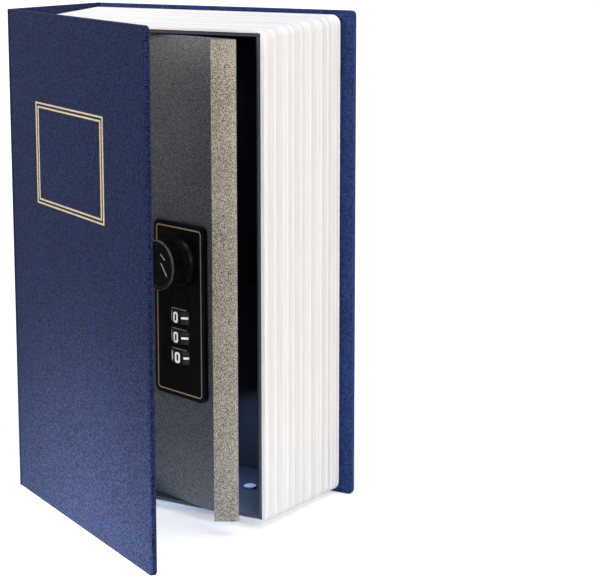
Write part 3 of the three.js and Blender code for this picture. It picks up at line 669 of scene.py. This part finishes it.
# %% Page frame
lowest, highest = node_box("page_frame")
frame_spine_x, rim_y, frame_tail_back = lowest
frame_fore_back, frame_back_y, frame_head_back = highest
block_depth = frame_back_y - rim_y
fore_inset, tail_inset, head_inset = 6.8, 2.0, 4.6
rim_width, head_rim_width, spine_wall = 1.55, 0.9, 1.5
fore_front, tail_front, head_front = fore_x - fore_inset, tail_inset, book_height - head_inset
hole_spine, hole_fore = frame_spine_x + spine_wall, fore_front - rim_width
hole_tail, hole_head = tail_front + rim_width, head_front - head_rim_width
corner_round, rim_round = 3.4, 0.2
smooth_rim = 2.2
rib_widths = (4.9, 5.7, 2.4, 3.7, 5.4, 3.5, 2.4, 5.0, 2.5, 4.5, 3.2, 2.5, 2.2)
rib_depth, shaded_depth = 0.3, 0.19
steps_per_rib = 7


def block_section(depth, groove):
    """Fore-edge, tail and head of the leaning block at a depth, drawn in by a groove."""
    share = depth / block_depth
    fore = fore_front + (frame_fore_back - fore_front) * share - groove
    tail = tail_front + (frame_tail_back - tail_front) * share + groove
    head = head_front + (frame_head_back - head_front) * share - groove
    return depth, fore, tail, head


def block_sections():
    """Sharp crests with broad grooves between them, as stacks of pages look."""
    stretch = (block_depth - smooth_rim) / sum(rib_widths)
    sections = [block_section(0, 0), block_section(smooth_rim * 0.55, 0), block_section(smooth_rim, 0)]
    crest = smooth_rim
    for width in rib_widths:
        deepest = rib_depth * min(1, width / 4)
        for step in range(1, steps_per_rib + 1):
            share = step / steps_per_rib
            groove = deepest * math.sin(math.pi * share) ** 0.55 if step < steps_per_rib else 0
            sections.append(block_section(crest + width * stretch * share, groove))
        crest += width * stretch
    return sections


def on_hole(vert):
    """Whether a point is on the opening's edge, which doesn't lean."""
    in_height = min(abs(vert.co.z - hole_tail), abs(vert.co.z - hole_head)) < 0.001
    return in_height or abs(vert.co.x - hole_fore) < 0.001


sections = block_sections()
_, fore, tail, head = sections[0]
page_bm = bmesh.new()
rim = [page_bm.verts.new((x, rim_y, z)) for x, z in (
    (hole_spine, tail), (fore, tail), (fore, head), (hole_spine, head),
    (hole_spine, hole_head), (hole_fore, hole_head), (hole_fore, hole_tail), (hole_spine, hole_tail))]
page_bm.faces.new(rim)
bmesh.ops.bevel(
    page_bm, geom=rim[1:3], offset=corner_round, affect="VERTICES", segments=8, profile=0.5, material=-1,
)
ring = list(page_bm.edges)
for before, now in zip(sections, sections[1:]):
    verts = new_verts(bmesh.ops.extrude_edge_only(page_bm, edges=ring))
    ring = edges_between(verts)
    bmesh.ops.translate(page_bm, verts=verts, vec=(0, now[0] - before[0], 0))
    outer = [vert for vert in verts if not on_hole(vert)]
    bmesh.ops.translate(page_bm, verts=outer, vec=(0, 0, now[2] - before[2]))
    pinned = Matrix.Translation((-hole_spine, 0, -now[2]))
    wider = (now[1] - hole_spine) / (before[1] - hole_spine)
    stretch = (wider, 1, (now[3] - now[2]) / (before[3] - before[2]))
    bmesh.ops.scale(page_bm, vec=stretch, space=pinned, verts=outer)
bmesh.ops.edgeloop_fill(page_bm, edges=ring)
bmesh.ops.recalc_face_normals(page_bm, faces=page_bm.faces)
rim_line = []
for edge in sharp_edges(page_bm, 50):
    if all(v.co.y < rim_y + 0.01 and v.co.x > hole_spine + 0.01 for v in edge.verts):
        rim_line.append(edge)
bevel(page_bm, rim_line, rim_round, 3)

notch_depth, notch_end = 3.0, 9.0
wall_bm = bmesh.new()
wall = [wall_bm.verts.new((frame_spine_x, rim_y + y, z)) for y, z in (
    (0, tail), (0, notch_end), (notch_depth, notch_end), (notch_depth, book_height - notch_end),
    (0, book_height - notch_end), (0, head), (block_depth, sections[-1][3]), (block_depth, sections[-1][2]))]
wall_bm.faces.new(wall)
lift_faces(wall_bm, (hole_spine - frame_spine_x, 0, 0))
front_line = [e for e in sharp_edges(wall_bm, 50) if all(v.co.y < rim_y + notch_depth + 0.1 for v in e.verts)]
bevel(wall_bm, front_line, rim_round, 3)
merge_into(page_bm, wall_bm)
pages = add_piece("pages", page_bm, book, "case", "pages", ("page_frame",), 50)
# Faces in the deeper grooves take the darker copy of the plastic: painted shade in the grooves.
pages.data.materials.append(finishes["groove"])
painted_shade_spans = [
    (before[0], now[0]) for before, now in zip(sections, sections[1:])
    if min(before[1] - block_section(before[0], 0)[1], now[1] - block_section(now[0], 0)[1]) < -shaded_depth
]
for face in pages.data.polygons:
    depth = face.center.y / MM - rim_y
    beside_hole = face.center.x / MM > hole_fore + 0.2
    in_hole_height = hole_tail - 0.2 < face.center.z / MM < hole_head + 0.2
    if (beside_hole or not in_hole_height) and any(low < depth < high for low, high in painted_shade_spans):
        face.material_index = 1
print("page frame rings", len(sections), "ribs", len(rib_widths))

# %% [markdown]
# The door is one sheet: a strip beside the hinge, a step down, a panel that rises gently
# and a lip folded back over its free edge. A chain of edges drawn through the middle of
# the sheet is carried up to the door's height, its fold lines are bevelled into bends, and
# solidify gives the sheet its thickness.

# %% Door
sheet = 0.9
curl_radius = 1.8
(_, _, door_low), (_, _, door_high) = node_box("door_panel")
door_x = door_hinge[0] / MM
box_fore = node_box("box_tray")[1][0]
door_clearance = 0.45
panel_width, step_width = 53.5, 15.5
fold_reach = box_fore - sheet - door_clearance - door_x
step_end = fold_reach - panel_width
strip_end = step_end - step_width
step_bottom, fold_depth = 10.3, 4.9
fold_bend, step_bend, cut_edge = 3.1, 0.9, 0.15
lip_length, lip_angle = 9.6, math.radians(-141)
strip_start, strip_y = curl_radius + 0.5, sheet / 2 - curl_radius
fold_y = fold_depth + sheet / 2
knuckles = 6


def upright(bm, points):
    """A chain of edges at the door's tail, carried up to its head as a strip of faces."""
    verts = [bm.verts.new((x, y, door_low)) for x, y in points]
    lines = [bm.edges.new(pair) for pair in zip(verts, verts[1:])]
    raised = new_verts(bmesh.ops.extrude_edge_only(bm, edges=lines))
    bmesh.ops.translate(bm, verts=raised, vec=(0, 0, door_high - door_low))


def upright_at(bm, x):
    """The sheet's long edges at a distance from the hinge."""
    return [e for e in bm.edges if all(abs(v.co.x - x) < 0.01 for v in e.verts) and e.calc_length() > 20]


def cut_across(bm, place, direction):
    """Cuts the faces along a plane."""
    everything = list(bm.verts) + list(bm.edges) + list(bm.faces)
    bmesh.ops.bisect_plane(bm, geom=everything, dist=0.0001, plane_co=place, plane_no=direction)


def thicken(bm):
    """Gives a sheet its thickness, half on each side."""
    bm.normal_update()
    for vert in bm.verts:
        vert.co += vert.normal * sheet / 2
    bmesh.ops.solidify(bm, geom=list(bm.faces), thickness=sheet)


door_bm = bmesh.new()
upright(door_bm, (
    (strip_start, strip_y), (strip_end, strip_y), (step_end, step_bottom + sheet / 2),
    (fold_reach, fold_y),
    (fold_reach + lip_length * math.cos(lip_angle), fold_y + lip_length * math.sin(lip_angle)),
))
bevel(door_bm, upright_at(door_bm, fold_reach), fold_bend, 12)
bevel(door_bm, upright_at(door_bm, strip_end) + upright_at(door_bm, step_end), step_bend, 5)
to_door = door_frame.inverted() @ lock_frame
opening_sides, opening_ends = (-8.4, 5.3), (-38.2, 3.4)
for edge in opening_sides:
    cut_across(door_bm, to_door @ Vector((edge, 0, 0)), to_door.to_3x3() @ Vector((1, 0, 0)))
for edge in opening_ends:
    cut_across(door_bm, to_door @ Vector((0, 0, edge)), to_door.to_3x3() @ Vector((0, 0, 1)))
to_lock = to_door.inverted()
hidden = []
for face in door_bm.faces:
    spot = to_lock @ face.calc_center_median()
    beside = opening_sides[0] < spot.x < opening_sides[1]
    if beside and opening_ends[0] < spot.z < opening_ends[1]:
        hidden.append(face)
bmesh.ops.delete(door_bm, geom=hidden, context="FACES")
thicken(door_bm)
strip_faces = {round(v.co.y, 2) for v in door_bm.verts if v.co.x < strip_start + 0.1}
print("door strip faces", sorted(strip_faces))
bmesh.ops.recalc_face_normals(door_bm, faces=door_bm.faces)
bevel(door_bm, sharp_edges(door_bm, 60), cut_edge, 2)
door_sheet = add_piece("door_sheet", door_bm, door_frame, "door", "door", ("door_panel",), 25)
# The lip's faces take the lighter copy of the coat, light painted onto one part of the same sheet.
door_sheet.data.materials.append(finishes["lip"])
to_local = door_frame.inverted()
tip_x = fold_reach + lip_length * math.cos(lip_angle)
for face in door_sheet.data.polygons:
    spot = to_local @ face.center
    along = (spot.x - tip_x) / (fold_reach - tip_x)
    middle = fold_y + lip_length * math.sin(lip_angle) * (1 - along)
    if spot.x > tip_x - 1 and spot.y < middle + sheet:
        face.material_index = 1
print("lip faces", sum(face.material_index for face in door_sheet.data.polygons))

# %% [markdown]
# The hinge strip turns in at the door's tail and head as two small flanges. Every second
# space of its edge is curled round the hinge pin, and the box has the curls between them.

# %% Flanges and knuckles of the door
flange_depth = 8.7
flange_start, flange_end, flange_slant = 3.4, strip_end - 1.5, 1.5
for number, height in enumerate((door_low, door_high - sheet)):
    bm = bmesh.new()
    corners = (
        (flange_start, 0), (flange_end, 0),
        (flange_end - flange_slant, flange_depth), (flange_start + flange_slant, flange_depth),
    )
    bm.faces.new([bm.verts.new((x, strip_y + y, height)) for x, y in corners])
    lift_faces(bm, (0, 0, sheet))
    bevel(bm, sharp_edges(bm, 60), cut_edge, 2)
    add_piece(f"door_flange_{number + 1}", bm, door_frame, "door", "door")

knuckle_pitch = (door_high - door_low) / knuckles
knuckle_gap, tab_length, curl_turn = 0.2, 0.8, 318
for number in range(1, knuckles, 2):
    low = door_low + number * knuckle_pitch + knuckle_gap
    high = door_low + (number + 1) * knuckle_pitch - knuckle_gap
    bm = bmesh.new()
    start = [bm.verts.new((curl_radius + tab_length, strip_y, z)) for z in (low, high)]
    tab = bmesh.ops.extrude_edge_only(bm, edges=[bm.edges.new(start)])
    hinge_side = new_verts(tab)
    bmesh.ops.translate(bm, verts=hinge_side, vec=(-curl_radius - tab_length, 0, 0))
    bmesh.ops.spin(
        bm, geom=hinge_side + edges_between(hinge_side), cent=(0, 0, 0), axis=(0, 0, -1),
        angle=math.radians(curl_turn), steps=22, use_duplicate=False,
    )
    bmesh.ops.remove_doubles(bm, verts=bm.verts, dist=0.001)
    bmesh.ops.recalc_face_normals(bm, faces=bm.faces)
    thicken(bm)
    inner = min(Vector(v.co.xy).length for v in bm.verts)
    print("knuckle", number, "bore radius", round(inner, 2))
    bmesh.ops.recalc_face_normals(bm, faces=bm.faces)
    add_piece(f"door_knuckle_{number}", bm, door_frame, "door", "door")

# %% [markdown]
# The lock's plate is a shallow black cover with three windows. Its face is a flat curve
# with holes in it, thin enough to let the number wheels stand out through the windows,
# and a wall round its edge sets it off from the door. A fine gold line follows the edge.

# %% Lock plate
plate_left, plate_right, plate_bottom, plate_top = -15.6, 12.5, -49.4, 13.5
plate_face, plate_back = -1.9, -0.3
wheel_axis = lock_frame.inverted() @ Vector(joints["middle_wheel_turn"]["pos_m"])
wheel_x, wheel_y, wheel_middle = wheel_axis
wheel_pitch = (joints["upper_wheel_turn"]["pos_m"][2] - joints["middle_wheel_turn"]["pos_m"][2]) / MM
wheel_heights = [wheel_middle + wheel_pitch * step for step in (1, 0, -1)]
plate_outline = (plate_left, plate_right, plate_bottom, plate_top)
window_half, window_height = 5.3, 5.3


def drawn_in(edges, inset):
    """A rectangle made smaller on all sides."""
    left, right, bottom, top = edges
    return left + inset, right - inset, bottom + inset, top - inset


plate_corner, knob_hole = 2.4, 3.1
plate_skin, plate_wall = 0.6, 1.2
line_inset, line_width = 1.45, 0.5
holes = [rounded_rectangle(*plate_outline, plate_corner, 8), ring_of(knob_hole)]
for z in wheel_heights:
    sides = (wheel_x - window_half, wheel_x + window_half, z - window_height / 2, z + window_height / 2)
    holes.append(rounded_rectangle(*sides, 0.6, 4))
plate_bm = curve_solid(holes, plate_face, plate_face + plate_skin, 0.18)
wall_bm = curve_solid([
    rounded_rectangle(*plate_outline, plate_corner, 8),
    rounded_rectangle(*drawn_in(plate_outline, plate_wall), 1.4, 8),
], plate_face + 0.35, plate_back, 0.1)
merge_into(plate_bm, wall_bm)
add_piece("lock_face_plate", plate_bm, lock_frame, "door", "enamel", ("lock_plate",), 30)
line_edges = [
    rounded_rectangle(*drawn_in(plate_outline, line_inset), 1.6, 8),
    rounded_rectangle(*drawn_in(plate_outline, line_inset + line_width), 1.1, 8),
]
line_bm = curve_solid(line_edges, plate_face - 0.03, plate_face + 0.05, 0.01)
add_piece("plate_line", line_bm, lock_frame, "door", "gold_line")
# Pale bars at the head of each window stand for the highlights on the wheels' upper edges: painted
# highlights.
highlight_half = 3.9
highlight_bm = bmesh.new()
for z in wheel_heights:
    top = z + window_height / 2
    low = (wheel_x - highlight_half, plate_face - 0.02, top - 0.12)
    high = (wheel_x + highlight_half, plate_face + 0.3, top + 0.22)
    merge_into(highlight_bm, block(low, high))
add_piece("window_edge_highlights", highlight_bm, lock_frame, "door", "rivet")

# %% [markdown]
# The knob has a domed skirt, a plain neck and a knurled grip. The skirt and neck are one
# profile turned round the knob's axis. The grip starts as a circle with every second point
# pulled in, which is extruded into a toothed cylinder and closed with a chamfered face.

# %% Knob
knob_base, grip_base, knob_radius = -2.2, -7.4, 9.0
grip_length, grip_chamfer, tooth_depth = 4.6, 0.6, 0.33
skirt = ((0, 0), (8.55, 0), (8.7, 0.15), (8.7, 0.6), (8.62, 1.1), (8.42, 1.7), (8.2, 2.2), (8.1, 2.8))
profile = [(radius, knob_base - rise) for radius, rise in skirt]
neck_radius, neck_overlap = 8.1, 0.6
neck_end = grip_base - neck_overlap
foot = spun(profile + [(neck_radius, neck_end), (0, neck_end)], 96)
knurls = 84
grip = bmesh.new()
flat = Matrix.Translation((0, grip_base, 0)) @ Matrix.Rotation(math.pi / 2, 4, "X")
bmesh.ops.create_circle(grip, cap_ends=True, radius=knob_radius, segments=2 * knurls, matrix=flat)
for number, vert in enumerate(grip.verts):
    if number % 2:
        vert.co.x *= 1 - tooth_depth / knob_radius
        vert.co.z *= 1 - tooth_depth / knob_radius
stages = ((-grip_length, None), (-grip_chamfer, 8.35), (0, 7.7), (0.3, 7.45))
region = list(grip.faces)
for advance, radius in stages:
    lifted = bmesh.ops.extrude_face_region(grip, geom=region)
    region = lifted["geom"]
    verts = new_verts(lifted)
    bmesh.ops.translate(grip, verts=verts, vec=(0, advance, 0))
    for vert in verts:
        if radius:
            flat_length = math.hypot(vert.co.x, vert.co.z)
            vert.co.x *= radius / flat_length
            vert.co.z *= radius / flat_length
bmesh.ops.recalc_face_normals(grip, faces=grip.faces)
merge_into(foot, grip)
knob = add_piece("dial_knob", foot, lock_frame, "knob", "knob", ("knob",), 28)
# Every second tooth on the grip's chamfer takes the light grey copy, a painted glint on the teeth.
knob.data.materials.append(finishes["tooth_glint"])
to_knob = lock_frame.inverted()
chamfer_back = grip_base - grip_length - 0.01
chamfer_front = grip_base - grip_length - grip_chamfer + 0.01
for face in knob.data.polygons:
    spot = to_knob @ face.center
    tooth = round(math.atan2(spot.z, spot.x) / (math.pi / knurls) - 0.5)
    if chamfer_front < spot.y < chamfer_back and tooth % 2:
        face.material_index = 1

# %% [markdown]
# The knob's face has two raised strokes that show how far it is turned. A stroke is two
# half circles joined by straight sides.


# %% Strokes on the knob
def stroke(start, end, width):
    """A flat stroke with round ends between two points."""
    (x, z), (to_x, to_z) = start, end
    heading = math.atan2(to_z - z, to_x - x)
    points = []
    for centre_x, centre_z, side in ((to_x, to_z, -0.5), (x, z, 0.5)):
        for step in range(7):
            angle = heading + (side + step / 6) * math.pi
            points.append((centre_x + width / 2 * math.cos(angle), centre_z + width / 2 * math.sin(angle)))
    return points


stroke_front, stroke_back = -12.42, -12.2
index_bm = bmesh.new()
for start, end, width in (((1.7, 4.1), (4.0, 2.4), 0.34), ((2.0, 0.8), (5.0, -3.2), 0.42)):
    merge_into(index_bm, curve_solid([stroke(start, end, width)], stroke_front, stroke_back, 0.02))
add_piece("knob_index", index_bm, lock_frame, "knob", "index")

# %% [markdown]
# Each number wheel has ten flat faces with a finger groove between them. The numbers lie
# on their sides, because this lock is made to be read with the knob to the right. A text
# object is turned into a mesh, stretched to the wheel's wide numerals and set on its face.

# %% Number wheels
wheel_radius, wheel_width, faces = 6.4, 4.7, 10
face_angle = 2 * math.pi / faces
number_height, number_width = 2.5, 3.9
half_stroke = 0.38
wheel_turns = {"upper": 0, "middle": 0, "lower": math.radians(6.8)}
face_half_angle, edge_half_angle, axle_hole = 13.2, 15.2, 1.7
groove_start, groove_end, groove_radius = 16.4, 19.6, 5.95


def wheel_outline():
    """Face corners and the grooves between them, seen from the head."""
    corners = [(angle, wheel_radius) for angle in (-edge_half_angle, -face_half_angle)]
    corners += [(angle, wheel_radius) for angle in (face_half_angle, edge_half_angle)]
    corners += [(angle, groove_radius) for angle in (groove_start, groove_end)]
    points = []
    for face in range(faces):
        for offset, radius in corners:
            angle = face * face_angle + math.radians(offset)
            points.append((radius * math.sin(angle), -radius * math.cos(angle)))
    return points


def text_solid(text):
    """One numeral as a mesh, made a little bolder, flat on the XY plane."""
    data = bpy.data.curves.new("numeral", "FONT")
    data.body = text
    data.extrude = 0.02
    data.offset = 0.025
    return from_curve(data)


def numeral(value):
    """A wide numeral, centred, with its height along Y."""
    half_width, half_height = number_width / 2, number_height / 2
    if value == 0:
        outer = (-half_width, half_width, -half_height, half_height)
        inner = drawn_in(outer, 2 * half_stroke)
        outlines = [rounded_rectangle(*outer, 0.9, 6), rounded_rectangle(*inner, 0.3, 6)]
        bm = curve_solid(outlines, -0.02, 0.02, 0.005)
        bmesh.ops.rotate(bm, verts=bm.verts, matrix=Matrix.Rotation(-math.pi / 2, 3, "X"))
        return bm
    if value == 1:
        return block((-half_stroke, -half_height * 1.05, -0.02), (half_stroke, half_height * 1.05, 0.02))
    bm = text_solid(str(value))
    xs = [v.co.x for v in bm.verts]
    ys = [v.co.y for v in bm.verts]
    bmesh.ops.translate(bm, verts=bm.verts, vec=(-(min(xs) + max(xs)) / 2, -(min(ys) + max(ys)) / 2, 0))
    stretch = (number_width / (max(xs) - min(xs)), number_height / (max(ys) - min(ys)), 1)
    bmesh.ops.scale(bm, verts=bm.verts, vec=stretch)
    return bm


# Turns a numeral's height to the left and its front to the reader.
lying = Matrix(((0, -1, 0, 0), (0, 0, -1, 0), (1, 0, 0, 0), (0, 0, 0, 1)))
for name, height in zip(("upper", "middle", "lower"), wheel_heights):
    axis_place = Matrix.Translation((wheel_x, wheel_y, height)) @ Matrix.Rotation(wheel_turns[name], 4, "Z")
    wheel_bm = curve_solid([wheel_outline(), ring_of(axle_hole)], -wheel_width / 2, wheel_width / 2, 0.22)
    stand = Matrix.Rotation(-math.pi / 2, 4, "X")
    bmesh.ops.transform(wheel_bm, matrix=axis_place @ stand, verts=wheel_bm.verts)
    body = f"{name}_wheel"
    solid = f"number_wheel_{name}"
    add_piece(body, wheel_bm, lock_frame, body, "wheel", (solid,), 20)
    numbers_bm = bmesh.new()
    outward = Matrix.Translation((0, -wheel_radius * math.cos(math.radians(face_half_angle)) - 0.01, 0))
    for value in range(faces):
        spot = Matrix.Rotation(value * face_angle, 4, "Z") @ outward
        merge_into(numbers_bm, numeral(value), axis_place @ spot @ lying)
    add_piece(f"{name}_numbers", numbers_bm, lock_frame, body, "white")

# %% [markdown]
# Two rivets in each end wall join the box to the page frame. Each has a low round head
# inside the box, and is one profile turned round the rivet's own axis.

# %% Wall rivets
shank_radius, head_height = 1.5, 0.55
rivet_head = ((2.3, -head_height), (2.25, -0.3), (1.7, -0.08), (0, 0))
for number in range(1, 5):
    low, high = node_box(f"box_rivet_{number}")
    centre = [(a + b) / 2 for a, b in zip(low, high)]
    reach, inward = (high[2] - low[2]) / 2, 1 if centre[2] < book_height / 2 else -1
    shank = [(0, -reach), (shank_radius, -reach), (shank_radius, reach - head_height)]
    rivet = spun(shank + [(radius, reach + depth) for radius, depth in rivet_head], 40)
    upright_turn = Matrix.Translation(centre) @ Matrix.Rotation(inward * math.pi / 2, 4, "X")
    bmesh.ops.transform(rivet, matrix=upright_turn, verts=rivet.verts)
    print("rivet", number, "centre", [round(value, 1) for value in centre])
    add_piece(f"wall_rivet_{number}", rivet, book, "case", "rivet", (f"box_rivet_{number}",))

# %% [markdown]
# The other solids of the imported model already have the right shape. They are sheet, wire
# and turned parts, so each only needs its finish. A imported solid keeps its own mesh, and
# the finish goes into its material slots.

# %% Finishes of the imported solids
kept_solids = {
    "front_endpaper": "endpaper", "box_tray": "box", "floor_liner": "felt", "hinge_pin": "zinc",
    # The strike bracket and its rivets are zinc but take the black knob plastic: painted shade, so they sink
    # into the dark inside of the box.
    "strike_bracket": "knob", "strike_rivet_1": "knob", "strike_rivet_2": "knob",
    "lock_body": "enamel", "lock_back_cover": "yellow", "lock_head_plate": "enamel",
    "spindle_ring": "zinc", "spindle_disc": "knob", "knob_spindle": "zinc", "wheel_axle": "zinc",
    "detent_spring": "zinc", "change_lever": "knob", "lock_clamp": "zinc", "clamp_pin": "yellow",
    "clamp_stud_1": "zinc", "clamp_stud_2": "zinc", "lock_bolt": "zinc",
}
for name, finish in kept_solids.items():
    node = frame["nodes"][name]
    for slot in node.material_slots:
        slot.material = finishes[finish]
    if not node.material_slots:
        print("no slot on", name)
replaced = set(frame["nodes"]) - set(kept_solids)
print("replaced solids", sorted(replaced))
